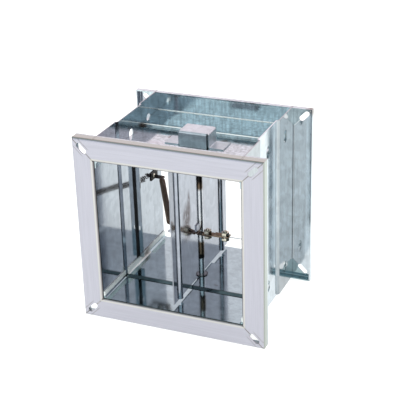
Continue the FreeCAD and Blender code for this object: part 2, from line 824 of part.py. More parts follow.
link_y = pivot - given["link_forward"]
link_level = given["link_level"]
inner_link_top = link_level + given["link_gauge"]
outer_link_low = inner_link_top + given["link_solder_gap"]
outer_link_top = outer_link_low + given["link_gauge"]
arm_low = link_level - given["arm_gauge"]
bolt_radius = given["bolt_diameter"] / 2
bolt_hole = given["bolt_diameter"] + 2 * given["bolt_fit"]
outer_bolt = given["outer_bolt_distance"]
inner_bolt = given["inner_bolt_distance"]


def link_arm():
    """Strip from the blade's right face past the front of the shaft, with a foot turned up on the blade."""
    body = new_body("link_arm")
    thick = given["arm_gauge"]
    half = given["arm_width"] / 2
    face = blade_half_gauge

    def section(sketch):
        outline(sketch, [
            (face, arm_low, bend + thick), (given["arm_end"], arm_low), (given["arm_end"], link_level),
            (face + thick, link_level, bend), (face + thick, arm_low + given["arm_foot_height"]),
            (face, arm_low + given["arm_foot_height"])])

    pad(body, "arm_strip", "XZ_Plane", link_y - half, link_y + half, section)
    pocket(body, "arm_hole", "XY_Plane", arm_low - OVERSHOOT, link_level + OVERSHOOT,
           lambda sketch: round_hole(sketch, inner_bolt, link_y, bolt_hole))


def link_plate(name, low, high, start, end, hole):
    body = new_body(name)
    half = given["link_width"] / 2
    pad(body, name + "_plate", "XY_Plane", low, high,
        lambda sketch: rectangle(sketch, start, end, link_y - half, link_y + half))
    pocket(body, name + "_hole", "XY_Plane", low - OVERSHOOT, high + OVERSHOOT,
           lambda sketch: round_hole(sketch, hole, link_y, bolt_hole))


def hex_bolt(name, x, head_top, tip):
    """Hexagon head below, plain shank above it."""
    body = new_body(name)
    pad(body, name + "_head", "XY_Plane", head_top - given["bolt_head_height"], head_top,
        lambda sketch: hexagon(sketch, x, link_y, given["bolt_across_flats"]))
    pad(body, name + "_shank", "XY_Plane", head_top, tip,
        lambda sketch: round_hole(sketch, x, link_y, given["bolt_diameter"]))


def hex_nut(name, x, low):
    body = new_body(name)
    high = low + given["nut_height"]
    pad(body, name + "_hexagon", "XY_Plane", low, high,
        lambda sketch: hexagon(sketch, x, link_y, given["bolt_across_flats"]))
    pocket(body, name + "_hole", "XY_Plane", low - OVERSHOOT, high + OVERSHOOT,
           lambda sketch: round_hole(sketch, x, link_y, bolt_hole))


eye_low = outer_link_low - given["wire_diameter"]
washer_low = eye_low - given["link_washer_thickness"]
link_arm()
link_plate("inner_link_plate", link_level, inner_link_top,
           given["link_inner_start"], given["link_inner_end"], inner_bolt)
link_plate("outer_link_plate", outer_link_low, outer_link_top,
           given["link_outer_start"], given["link_outer_end"], outer_bolt)
hex_bolt("inner_link_bolt", inner_bolt, arm_low, inner_link_top + given["nut_height"] + given["bolt_tip"])
hex_nut("inner_link_nut", inner_bolt, inner_link_top)
hex_bolt("outer_link_bolt", outer_bolt, washer_low,
         outer_link_top + given["nut_height"] + given["bolt_tip"])
hex_nut("outer_link_nut", outer_bolt, outer_link_top)
outer_link_washer = new_body("outer_link_washer")
turned(outer_link_washer, "outer_link_washer_ring", outer_bolt, link_y, [
    (bolt_radius + given["bolt_fit"], washer_low), (given["link_washer_diameter"] / 2, washer_low),
    (given["link_washer_diameter"] / 2, eye_low), (bolt_radius + given["bolt_fit"], eye_low)])


# Hold-open wire from the link to a tab on the right stop

wire_radius = given["wire_diameter"] / 2
wire_level = eye_low + wire_radius
eye_radius = bolt_radius + given["bolt_fit"] + wire_radius
anchor_face = wall_face - given["stop_gauge"]
anchor_hole = anchor_face - given["anchor_hole_offset"]


def hold_open_wire():
    """Eye round the outer bolt, a straight run to the right and an end turned down through the tab."""
    level = wire_level.value
    turn = given["wire_hook_radius"].value
    hook = anchor_hole.value
    along, aside, up = FreeCAD.Vector(1, 0, 0), FreeCAD.Vector(0, 1, 0), FreeCAD.Vector(0, 0, 1)
    bolt = FreeCAD.Vector(outer_bolt.value, link_y.value, level)
    eye = ring_points(bolt, eye_radius.value, EYE_OPEN_ANGLE, 0, EYE_SIDES, along, aside)
    straight = eye_radius.value + given["wire_eye_neck"].value
    elbow = ring_points(FreeCAD.Vector(hook - turn, link_y.value, level - turn), turn, 90, 0, ELBOW_SIDES,
                        along, up)
    low = level - turn - given["wire_hook_drop"].value
    points = eye + [bolt + along * straight] + elbow + [FreeCAD.Vector(hook, link_y.value, low)]
    bent_wire("hold_open_wire", points, given["wire_diameter"].value, WIRE_SECTION_SIDES)


def wire_anchor():
    """Angle on the right stop's foot, with a hole for the end of the wire."""
    body = new_body("wire_anchor")
    thick = given["arm_gauge"]
    half = given["arm_width"] / 2
    top = wire_level - given["wire_hook_radius"]
    low = top - thick
    reach = anchor_face - given["anchor_reach"]

    def section(sketch):
        outline(sketch, [
            (anchor_face, low, bend + thick), (anchor_face, low + given["anchor_foot_height"]),
            (anchor_face - thick, low + given["anchor_foot_height"]), (anchor_face - thick, top, bend),
            (reach, top), (reach, low)])

    pad(body, "anchor_angle", "XZ_Plane", link_y - half, link_y + half, section)
    pocket(body, "anchor_hole", "XY_Plane", low - OVERSHOOT, top + OVERSHOOT / 2,
           lambda sketch: round_hole(sketch, anchor_hole, link_y, given["wire_diameter"] + 2 * given["hook_clearance"]))


hold_open_wire()
wire_anchor()


# Check every object, then write one file for each sub-part

doc.recompute()
for item in doc.Objects:
    if "Invalid" in item.State or "Error" in item.State:
        raise RuntimeError(f"{item.Label} failed: {item.State}")
os.makedirs("parts", exist_ok=True)
for sub_part in sub_parts:
    shape = sub_part.Shape
    if shape.isNull() or not shape.isValid() or not shape.Solids:
        raise RuntimeError(f"{sub_part.Label} has no valid solid")
    shape.exportStep(f"parts/{sub_part.Label}.step")
    box = shape.BoundBox
    print(f"{sub_part.Label}: {len(shape.Solids)} solid(s), {shape.Volume:.1f} mm3, "
          f"x {box.XMin:.2f}..{box.XMax:.2f}, y {box.YMin:.2f}..{box.YMax:.2f}, "
          f"z {box.ZMin:.2f}..{box.ZMax:.2f}")
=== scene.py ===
"""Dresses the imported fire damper: stage, finishes, and the wires, spring and fasteners in their real shape."""

import json
import math

import bmesh
import bpy
from bpy.props import FloatProperty, FloatVectorProperty, IntProperty, PointerProperty
from mathutils import Matrix, Vector


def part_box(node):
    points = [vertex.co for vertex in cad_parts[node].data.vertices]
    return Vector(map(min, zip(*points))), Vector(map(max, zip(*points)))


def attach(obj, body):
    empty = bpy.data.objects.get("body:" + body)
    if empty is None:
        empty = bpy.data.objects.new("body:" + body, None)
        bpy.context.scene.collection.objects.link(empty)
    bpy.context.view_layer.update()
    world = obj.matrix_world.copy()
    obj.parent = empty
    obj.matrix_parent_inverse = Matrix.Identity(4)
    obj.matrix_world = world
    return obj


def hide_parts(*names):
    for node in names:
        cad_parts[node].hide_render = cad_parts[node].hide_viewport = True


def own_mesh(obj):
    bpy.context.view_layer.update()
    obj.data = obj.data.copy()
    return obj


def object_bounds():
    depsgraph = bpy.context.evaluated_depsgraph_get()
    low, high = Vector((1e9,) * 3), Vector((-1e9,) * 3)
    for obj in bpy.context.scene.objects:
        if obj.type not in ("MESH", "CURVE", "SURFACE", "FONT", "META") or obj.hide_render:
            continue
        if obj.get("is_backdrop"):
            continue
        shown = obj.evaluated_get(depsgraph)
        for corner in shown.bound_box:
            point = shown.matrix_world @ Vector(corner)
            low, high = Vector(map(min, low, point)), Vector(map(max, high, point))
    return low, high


bl_info = {
    "name": "Fire damper looks",
    "version": (1, 0, 0),
    "blender": (4, 5, 0),
    "location": "View3D > Sidebar > Damper",
    "description": "Stage, finishes and small pieces of a square fire damper",
    "category": "Object",
}

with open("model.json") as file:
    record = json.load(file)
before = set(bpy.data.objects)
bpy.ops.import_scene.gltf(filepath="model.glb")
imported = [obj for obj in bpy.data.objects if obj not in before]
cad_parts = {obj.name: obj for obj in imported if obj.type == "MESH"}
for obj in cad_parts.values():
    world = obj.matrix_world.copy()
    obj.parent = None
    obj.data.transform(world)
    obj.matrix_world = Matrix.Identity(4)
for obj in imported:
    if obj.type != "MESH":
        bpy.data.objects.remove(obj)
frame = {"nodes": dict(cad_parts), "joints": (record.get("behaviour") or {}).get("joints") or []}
cad_box = [list(corner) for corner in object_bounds()]
MM = 0.001

# The casing in millimetres: its outer box from the frame, the sheet's own sizes, and what follows from both.
# The roof is the top panel's upper face on its band, and the ground is the floor inside the duct.
FLANGE, BAND_STEP, GAUGE = 30.0, 3.0, 1.5
BAND_FRONT, BAND_REAR = -34.0, 42.0
FRONT, REAR = cad_box[0][1] / MM, cad_box[1][1] / MM
AXIS = (cad_box[0][2] + cad_box[1][2]) / 2 / MM
OUTER = cad_box[1][0] / MM
CLEAR = OUTER - FLANGE
ROOF = AXIS + CLEAR - BAND_STEP + GAUGE
GROUND = AXIS - CLEAR + BAND_STEP


def joint_of(name):
    """The frame's record of one joint."""
    return [joint for joint in frame["joints"] if joint["name"] == name][0]


def joint_place(name):
    """Where a joint's axis stands, in metres."""
    return Vector(joint_of(name)["pos_m"])


def middle_of(node):
    """Middle of a CAD node's box, in metres."""
    low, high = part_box(node)
    return (low + high) / 2


# Sizes and colours

def from_hex(text):
    """Linear colour of an sRGB hex value."""
    linear = []
    for start in (0, 2, 4):
        share = int(text[start:start + 2], 16) / 255
        linear.append(share / 12.92 if share <= 0.04045 else ((share + 0.055) / 1.055) ** 2.4)
    return tuple(linear)


def colour(name, text, description):
    """Property that holds a colour, from its hex value."""
    return FloatVectorProperty(name=name, description=description, subtype="COLOR", size=3,
                               min=0.0, max=1.0, default=from_hex(text))


def length(name, millimetres, description):
    """Property that holds a length, from its value in millimetres."""
    return FloatProperty(name=name, description=description, unit="LENGTH", subtype="DISTANCE",
                         min=0.0, default=millimetres * MM)


class DamperSizes(bpy.types.PropertyGroup):
    """Sizes of the pieces that are modelled here"""
    spring_wire: length("Spring wire", 1.5, "Diameter of the closing spring's wire")
    spring_width: length("Spring width", 8.5, "Outer diameter of the closing spring's coil")
    spring_neck: length("Spring neck", 10.1, "From the bracket's hole to the spring's first turn")
    lug_neck: length("Lug neck", 26.0, "From the lug's hole to the spring's last turn")
    lug_loop: length("Lug loop", 15.5, "Length of the long loop in the lug, which clears it when the spring is short")
    spring_turns: IntProperty(name="Spring turns", description="Full turns of the closing spring",
                              min=1, default=38)
    tab_nose: length("Tab nose", 4.5, "Radius of the round nose of the spring's tabs")
    tab_gauge: length("Tab sheet", 1.5, "Thickness of the spring bracket's sheet")
    rivet_distance: length("Rivet distance", 8.0, "From the spring's hole in the bracket forward to the rivet")
    rivet_rise: length("Rivet rise", 5.5, "From the spring's hole in the bracket up to the rivet")
    rivet_stem: length("Rivet stem", 1.9, "Radius of the bracket's rivet in its hole")
    rivet_head: length("Rivet head", 2.9, "Radius of the rivet's head")
    rivet_dome: length("Rivet dome", 1.3, "Height of the rivet's head")
    hold_wire: length("Hold-open wire", 1.2, "Diameter of the wire that holds the link")
    hold_eye: length("Wire eye", 3.75, "Radius of the wire's eye round the outer bolt")
    hold_elbow: length("Wire elbow", 2.0, "Radius of the wire's turned-down end")
    thread_width: length("Thread", 6.0, "Outer diameter of the link bolts' thread")
    thread_pitch: length("Thread pitch", 1.0, "Rise of the thread in one turn")
    bolt_head: length("Bolt head", 4.0, "Height of the link bolts' heads")
    hexagon_chamfer: length("Hexagon chamfer", 0.5, "Chamfer on bolt heads and nuts")
    solder_gap: length("Solder", 0.14, "Thickness of the solder between the two halves of the link")


class DamperColours(bpy.types.PropertyGroup):
    """Colours of the finishes and of the studio"""
    zinc: colour("Zinc", "B6C4C9", "Sheet of the top panel")
    zinc_bright: colour("Bright zinc", "CAD3D9", "Fresher sheet of the right wall")
    zinc_blade: colour("Blade zinc", "9CA1AB", "Sheet of the blade and of the link arm's foot")
    zinc_inside: colour("Inner zinc", "A3AAB2", "Sheet of the left wall and the stops")
    zinc_floor: colour("Floor zinc", "9CB2B7", "Sheet of the bottom panel")
    cover: colour("Cover zinc", "C9D1D6", "Sheet of the cover box")
    lip: colour("Lip", "A6AFA9", "Folded lips of the front flange")
    zinc_front: colour("Front zinc", "B8B7C0", "Matt face of the front flange")
    # Pale zinc is partly a matt finish and partly a painted highlight of the panels' bends.
    pale_fold_highlight: colour("Pale zinc", "E4ECEA", "Matt zinc on the panels' folded edges")
    # Seam darkens the mitres, and is also painted shade along the flange's folds, rims, creases and lip.
    seam: colour("Seam", "6E675C", "Mitre seams and folds of the flange")
    # Fold is a painted cream highlight beside the flange's inner folds.
    fold_shade_and_highlight: colour("Fold", "D2CFC0", "Cream shine beside the flange's inner folds")
    arm: colour("Arm", "4A4038", "Dark steel arm of the link")
    smudge: colour("Smudge", "41383C", "Brushed smudges on the blade and the right wall")
    edge: colour("Cut edge", "8B857A", "Worn and cut edges of the sheet")
    burn: colour("Burn", "5E4C40", "Heat marks of welds")
    steel: colour("Steel", "C8CBD0", "Bright drawn steel")
    # Scale is also the painted shade on the bushes' rims.
    scale: colour("Scale", "1B1A19", "Black of the heated shaft, the bushes' rims, the clips and the bracket")
    brown_scale: colour("Brown scale", "5F5143", "Brown edge of the shaft's scale")
    plated: colour("Plating", "C9C4B4", "Zinc plated fasteners")
    spring: colour("Spring", "6A5A50", "Oiled spring steel")
    brass: colour("Brass", "8C7760", "Fusible link")
    bush: colour("Bush", "8A9092", "Shaft bushes")
    seal: colour("Seal", "17181A", "Graphite seal")
    floor: colour("Floor", "FFFFFF", "Light of the studio's floor and of the bare room")
    floor_paint: colour("Floor paint", "B4B8B6", "Paint of the studio floor")
    room: colour("Room", "FFEDF2", "Studio behind and beside the damper")
    room_front: colour("Front room", "F1FAFF", "Studio on the camera's side")
    ceiling: colour("Ceiling", "AEB9BE", "Dim studio ceiling")


def sizes():
    """The damper's sizes as the scene has them."""
    return bpy.context.scene.damper_sizes


def colours():
    """The damper's colours as the scene has them."""
    return bpy.context.scene.damper_colours


# Materials. Sockets go by name or number: a MapRange reads from 1 to 2 and gives 3 to 4, or 0 to 1 where
# these are left out. A Mix has its share on 0, and its colours on 6 and 7 or its numbers on 2 and 3.

# Between these a noise has nearly all of its values.
NOISE_LOW, NOISE_HIGH = 0.3, 0.7


def add(tree, kind, sockets=None, settings=None, out=0):
    """Adds one node with its own settings and gives back one output. A socket gets a number or an output."""
    node = tree.nodes.new("ShaderNode" + kind)
    for word, value in (settings or {}).items():
        setattr(node, word, value)
    for socket, value in (sockets or {}).items():
        if isinstance(value, bpy.types.NodeSocket):
            tree.links.new(value, node.inputs[socket])
        else:
            node.inputs[socket].default_value = value
    return node.outputs[out] if len(node.outputs) else None


def new_material(name):
    """Empty material with the object's own coordinates."""
    made = bpy.data.materials.new(name)
    made.use_nodes = True
    made.node_tree.nodes.clear()
    return made, made.node_tree, add(made.node_tree, "TexCoord", out="Object")


def surface(tree, sockets):
    """Shader and output. Uniform numbers stand on the shader's own sockets."""
    add(tree, "OutputMaterial", {"Surface": add(tree, "BsdfPrincipled", sockets)})


def opaque(rgb):
    """Colour with the fourth number that a socket takes."""
    return (*rgb, 1.0)


def painted(tree, under, over, *shares):
    """Colour over another one, as far as every share, from 0 to 1, lets it through."""
    share = shares[0]
    for other in shares[1:]:
        share = add(tree, "Math", {0: share, 1: other}, {"operation": "MULTIPLY"})
    return add(tree, "Mix", {0: share, 6: under, 7: over}, {"data_type": "RGBA"}, 2)


def shaded(tree, under, pattern, low, high):
    """Colour made darker or lighter by a pattern, from low to high times its value."""
    value = add(tree, "MapRange", {0: pattern, 1: NOISE_LOW, 2: NOISE_HIGH, 3: low, 4: high})
    return add(tree, "HueSaturation", {"Color": under, "Value": value})


def lines_along(tree, place, axis, spacing, reach, detail=2.0):
    """Noise drawn out into lines along an axis. Their spacing and reach are in millimetres."""
    size = [reach if word == axis else spacing for word in "xyz"]
    scaled = add(tree, "Mapping", {0: place, 3: [1 / (part * MM) for part in size]})
    return add(tree, "TexNoise", {"Vector": scaled, "Scale": 1.0, "Detail": detail})


def worn_edges(tree, radius):
    """1 on edges and 0 on flats, from how far the rounded normal turns away from the flat one."""
    rounded = add(tree, "Bevel", {"Radius": radius * MM}, {"samples": 4})
    flat = add(tree, "NewGeometry", out="Normal")
    dot = add(tree, "VectorMath", {0: rounded, 1: flat}, {"operation": "DOT_PRODUCT"}, "Value")
    return add(tree, "MapRange", {0: dot, 1: 0.995, 2: 0.9})


def spot(tree, place, centre, reach, power=1.0):
    """1 at a place and 0 at its reach, which is one length or three, all in millimetres."""
    reach = reach if isinstance(reach, tuple) else (reach,) * 3
    offset = add(tree, "VectorMath", {0: place, 1: [part * MM for part in centre]}, {"operation": "SUBTRACT"})
    shrunk = add(tree, "VectorMath", {0: offset, 1: [part * MM for part in reach]}, {"operation": "DIVIDE"})
    distance = add(tree, "VectorMath", {0: shrunk}, {"operation": "LENGTH"}, "Value")
    return add(tree, "MapRange", {0: distance, 1: 1.0, 2: 0.35, 3: 0.0, 4: power})


def between(tree, level, low, high, soft=0.4):
    """1 where a distance lies between two values and 0 outside them, in millimetres."""
    rise = add(tree, "MapRange", {0: level, 1: (low - soft) * MM, 2: low * MM})
    fall = add(tree, "MapRange", {0: level, 1: (high + soft) * MM, 2: high * MM})
    return add(tree, "Math", {0: rise, 1: fall}, {"operation": "MULTIPLY"})


def slab(tree, place, axis, low, high, soft=0.4):
    """1 between two levels along an axis and 0 outside them, in millimetres."""
    return between(tree, add(tree, "SeparateXYZ", {0: place}, out="xyz".index(axis)), low, high, soft)


def frame_distances(tree, place):
    """Distances sideways and upwards from the duct's axis, both without their sign."""
    centred = add(tree, "VectorMath", {0: place, 1: (0.0, 0.0, AXIS * MM)}, {"operation": "SUBTRACT"})
    positive = add(tree, "VectorMath", {0: centred}, {"operation": "ABSOLUTE"})
    return add(tree, "SeparateXYZ", {0: positive}, out=0), add(tree, "SeparateXYZ", {0: positive}, out=2)


def zinc_skin(tree, place, zinc, strokes):
    """Zinc with soft clouds, flat crystals about 8 mm across and upright brush strokes, and the clouds alone."""
    crystals = add(tree, "TexVoronoi", {"Vector": place, "Scale": 1 / (8 * MM)}, out="Color")
    clouds = add(tree, "TexNoise", {"Vector": place, "Scale": 1 / (30 * MM), "Detail": 3.0})
    brushed = lines_along(tree, place, "z", 4.0, 22.0)
    skin = shaded(tree, opaque(zinc), clouds, 0.9, 1.06)
    skin = shaded(tree, skin, add(tree, "SeparateColor", {0: crystals}), 0.95, 1.05)
    return shaded(tree, skin, brushed, 1 - strokes, 1 + strokes), clouds


def flange_paint(tree, place, under):
    """Front flange: matt face, dark mitres, painted shade on its folds, creases and rims, a painted cream highlight
    beside the folds, and olive lips with a painted shade line, and the face alone.
    """
    paint = colours()
    face = slab(tree, place, "y", FRONT - 9, FRONT + 1.1)
    across, upwards = frame_distances(tree, place)
    apart = add(tree, "Math", {0: across, 1: upwards}, {"operation": "SUBTRACT"})
    apart = add(tree, "Math", {0: apart}, {"operation": "ABSOLUTE"})
    outward = add(tree, "Math", {0: across, 1: upwards}, {"operation": "MAXIMUM"})
    mitre = add(tree, "MapRange", {0: apart, 1: 0.9 * MM, 2: 0.4 * MM})
    crease_shade = between(tree, apart, 8.6, 9.2, 0.5)
    fold_shade_and_highlight = between(tree, outward, CLEAR + 0.2, CLEAR + 1, 1.2)
    shine = between(tree, outward, CLEAR + 2, CLEAR + 4)
    corner = add(tree, "MapRange", {0: outward, 1: (CLEAR + 14) * MM, 2: (CLEAR + 17) * MM})
    lip = add(tree, "MapRange", {0: outward, 1: (OUTER - 2) * MM, 2: (OUTER - 1) * MM})
    rim_shade = add(tree, "MapRange", {0: outward, 1: (OUTER - 1.1) * MM, 2: (OUTER - 0.4) * MM})
    # The seam colour on the fold, rim, crease and lip masks is painted shade; the fold colour on the shine mask is a
    # painted highlight.
    for tone, *shares in (
            (paint.zinc_front, face),
            (paint.seam, mitre, face),
            (paint.seam, fold_shade_and_highlight, slab(tree, place, "y", FRONT - 9, FRONT + 2.4), 0.7),
            (paint.seam, rim_shade, slab(tree, place, "y", FRONT - 9, FRONT + 3.5), 0.8),
            (paint.seam, crease_shade, corner, face, 0.6),
            (paint.fold_shade_and_highlight, shine, face, 0.5),
            (paint.lip, lip, slab(tree, place, "y", FRONT + 1.5, FRONT + 13)),
            (paint.seam, lip, slab(tree, place, "y", FRONT + 2.6, FRONT + 3.8, 0.6), 0.8)):
        under = painted(tree, under, opaque(tone), *shares)
    return under, face


# Hot-dip galvanised steel sheet, rolled and folded: a bluish mirror with clouds and crystals in its zinc, fine
# rolling lines and a slight wave, so straight things bend in it. The flange's front face has gone matt and
# pale, with dark lines in its mitres, painted shade along its folds, rims and creases, and a painted cream
# highlight beside its inner folds. Burns are ragged marks of a tone at a place with a reach and a power, zones
# of painted shade, darker by a value, lie between two levels along an axis, and pale matt zones, whose pale
# colour is a painted highlight of the bends, lie where two such zones cross.
def galvanised_sheet(name, rolling, zinc, burns=(), painted_shade=(), pale_highlights=(), gloss=0.07, strokes=0.05):
    made, tree, place = new_material(name)
    paint = colours()
    top, clouds = zinc_skin(tree, place, zinc, strokes)
    # Each of these zones is painted shade: the colour made darker by its value.
    for axis, low, high, value in painted_shade:
        painted_darker = add(tree, "HueSaturation", {"Color": top, "Value": value})
        top = painted(tree, top, painted_darker, slab(tree, place, axis, low, high))
    top, face = flange_paint(tree, place, top)
    rolled = lines_along(tree, place, rolling, 1.5, 60.0)
    top = shaded(tree, top, rolled, 0.95, 1.04)
    top = painted(tree, top, opaque(paint.edge), worn_edges(tree, 0.5), 0.5)

    matt_face, matt_zinc, bare_metal = 0.5, 0.38, 0.3
    rough = add(tree, "MapRange", {0: clouds, 1: NOISE_LOW, 2: NOISE_HIGH, 3: gloss, 4: gloss + 0.06})
    rough = add(tree, "Mix", {0: face, 2: rough, 3: matt_face})
    metallic = 1.0
    # Pale zones: a matt, less metallic finish, and a pale colour that is a painted highlight of the bends.
    for first, second in pale_highlights:
        pale_highlight_zone = add(tree, "Math", {0: slab(tree, place, *first), 1: slab(tree, place, *second)},
                     {"operation": "MULTIPLY"})
        top = painted(tree, top, opaque(paint.pale_fold_highlight), pale_highlight_zone)
        rough = add(tree, "Mix", {0: pale_highlight_zone, 2: rough, 3: matt_zinc})
        metallic = add(tree, "Mix", {0: pale_highlight_zone, 2: metallic, 3: bare_metal})

    ragged = lines_along(tree, place, "z", 2.0, 9.0, 3.0)
    ragged = add(tree, "MapRange", {0: ragged, 1: 0.3, 2: 0.5})
    for tone, centre, reach, power in burns:
        top = painted(tree, top, opaque(tone), spot(tree, place, centre, reach, power), ragged)
    wave = add(tree, "TexNoise", {"Vector": place, "Scale": 1 / (45 * MM), "Detail": 1.0})
    waved = add(tree, "Bump", {"Strength": 1.0, "Distance": 0.12 * MM, "Height": wave})
    lined = add(tree, "Bump", {"Strength": 0.2, "Distance": 0.02 * MM, "Height": rolled, "Normal": waved})
    surface(tree, {"Base Color": top, "Roughness": rough, "Normal": lined, "Metallic": metallic})
    return made


# Plain metal parts: drawn, plated, oiled or turned. Faint clouds and fine lines along the given axis, as far
# apart as its grit in millimetres, break up their shine, and bright steel shows on their edges.
def worked_metal(name, base, roughness, axis="z", grit=0.4, tint=None, contrast=0.12):
    made, tree, place = new_material(name)
    lines = lines_along(tree, place, axis, grit, 25 * grit)
    clouds = add(tree, "TexNoise", {"Vector": place, "Scale": 1 / (6 * MM), "Detail": 3.0})
    shade = shaded(tree, opaque(base), clouds, 1 - contrast, 1 + contrast)
    if tint is not None:
        shade = tint(tree, place, shade)
    shade = painted(tree, shade, opaque(colours().steel), worn_edges(tree, 0.25), 0.5)
    rough = add(tree, "MapRange", {0: lines, 1: NOISE_LOW, 2: NOISE_HIGH, 3: roughness - 0.06, 4: roughness + 0.08})
    bump = add(tree, "Bump", {"Strength": 0.15, "Distance": 0.03 * MM, "Height": lines})
    surface(tree, {"Base Color": shade, "Roughness": rough, "Normal": bump, "Metallic": 1.0})
    return made


def heat_tint(tree, place, shade):
    """Black and brown heated zones along the shaft, by level in millimetres, with wandering ends."""
    wander = add(tree, "TexNoise", {"Vector": place, "Scale": 1 / (5 * MM), "Detail": 3.0})
    shift = add(tree, "MapRange", {0: wander, 3: -3 * MM, 4: 3 * MM})
    moved = add(tree, "VectorMath", {0: place, 1: add(tree, "CombineXYZ", {2: shift})}, {"operation": "ADD"})
    brown, black = colours().brown_scale, colours().scale
    for low, high, soft, tone in ((166, 240, 6, brown), (174, 240, 4, black), (64, 84, 3, brown), (60, 64, 2, black)):
        shade = painted(tree, shade, opaque(tone), slab(tree, moved, "z", low, high, soft))
    return shade


def zinc_foot(tree, place, shade):
    """Clean zinc on the foot of the arm, above the darkened part that holds the link."""
    arm_top, above_foot = 106.5, 140.0
    return painted(tree, shade, opaque(colours().zinc_blade), slab(tree, place, "z", arm_top, above_foot))


def shaded_rim(tree, place, shade):
    """Painted shade on the outer rim of a bush, by distance from the shaft's axis."""
    offset = add(tree, "VectorMath", {0: place, 1: joint_place("blade_swing")}, {"operation": "SUBTRACT"})
    level = add(tree, "VectorMath", {0: offset, 1: (1, 1, 0)}, {"operation": "MULTIPLY"})
    outward = add(tree, "VectorMath", {0: level}, {"operation": "LENGTH"}, "Value")
    rim_shade = add(tree, "MapRange", {0: outward, 1: 7.4 * MM, 2: 8.0 * MM})
    return painted(tree, shade, opaque(colours().scale), rim_shade, 0.8)


# Graphite strip that swells in a fire: dull, nearly black, with a coarse grain.
def graphite_seal(name):
    made, tree, place = new_material(name)
    grain = add(tree, "TexNoise", {"Vector": place, "Scale": 1 / (0.8 * MM), "Detail": 3.0})
    bump = add(tree, "Bump", {"Strength": 0.4, "Distance": 0.1 * MM, "Height": grain})
    surface(tree, {"Base Color": shaded(tree, opaque(colours().seal), grain, 0.7, 1.4),
                   "Normal": bump, "Roughness": 0.75})
    return made


# Studio floor of matt paint with a faint mottle. It glows a little, so that it stays white round the damper.
def matt_floor_paint(name):
    made, tree, place = new_material(name)
    paint = colours()
    mottle = add(tree, "TexNoise", {"Vector": place, "Scale": 2.5})
    surface(tree, {"Base Color": shaded(tree, opaque(paint.floor_paint), mottle, 0.98, 1.0), "Roughness": 0.9,
                   "Emission Color": opaque(paint.floor), "Emission Strength": 0.72})
    return made


def coat(material, *names):
    """Gives CAD nodes a material."""
    for name in names:
        node = frame["nodes"][name]
        node.data.materials.clear()
        node.data.materials.append(material)


# Mesh helpers

WIRE_SIDES = 10


def ring(bm, radius, sides, matrix):
    """Open ring of edges in the matrix's own xy plane."""
    made = bmesh.ops.create_circle(bm, cap_ends=False, radius=radius, segments=sides, matrix=matrix)
    return list({edge for vert in made["verts"] for edge in vert.link_edges})


def carry(made):
    """Edges at the far end of a spin or an extrusion."""
    return [item for item in made if isinstance(item, bmesh.types.BMEdge)]


def bend(bm, edges, centre, axis, degrees, steps, rise=(0.0, 0.0, 0.0)):
    """Sweeps a ring of edges round an axis and gives back the ring at the end."""
    made = bmesh.ops.spin(bm, geom=edges, cent=centre, axis=axis, dvec=rise,
                          angle=math.radians(degrees), steps=steps, use_duplicate=False)
    return carry(made["geom_last"])


def run(bm, edges, way):
    """Sweeps a ring of edges straight along a vector and gives back the ring at the end."""
    made = bmesh.ops.extrude_edge_only(bm, edges=edges)["geom"]
    verts = [item for item in made if isinstance(item, bmesh.types.BMVert)]
    bmesh.ops.translate(bm, verts=verts, vec=way)
    return [edge for edge in carry(made) if all(vert in verts for vert in edge.verts)]


def turn(bm, points, centre, steps=48):
    """Piece of revolution about the upright line through centre. Points are (radius, level)."""
    verts = [bm.verts.new((centre[0] + radius, centre[1], level)) for radius, level in points]
    edges = [bm.edges.new(pair) for pair in zip(verts, verts[1:])]
    bmesh.ops.spin(bm, geom=verts + edges, cent=(centre[0], centre[1], 0), axis=(0, 0, 1), dvec=(0, 0, 0),
                   angle=2 * math.pi, steps=steps, use_merge=True, use_duplicate=False)


def close_ends(bm):
    """Puts a face on each open end of a wire."""
    bmesh.ops.holes_fill(bm, edges=[edge for edge in bm.edges if edge.is_boundary], sides=0)


def finished(bm, name, material, body, slot, *stands_for, smooth=40):
    """Cleans a mesh, makes it a piece of the damper, and lets it ride on a body."""
    bmesh.ops.remove_doubles(bm, verts=bm.verts, dist=0.002 * MM)
    bmesh.ops.recalc_face_normals(bm, faces=bm.faces)
    for face in bm.faces:
        face.smooth = True
    for edge in bm.edges:
        edge.smooth = len(edge.link_faces) == 2 and edge.calc_face_angle() < math.radians(smooth)
    mesh = bpy.data.meshes.new(name)
    bm.to_mesh(mesh)
    bm.free()
    mesh.materials.append(material)
    piece = bpy.data.objects.new(name, mesh)
    bpy.context.scene.collection.objects.link(piece)
    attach(piece, body)
    if stands_for:
        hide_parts(*stands_for)
    return piece


# Stage

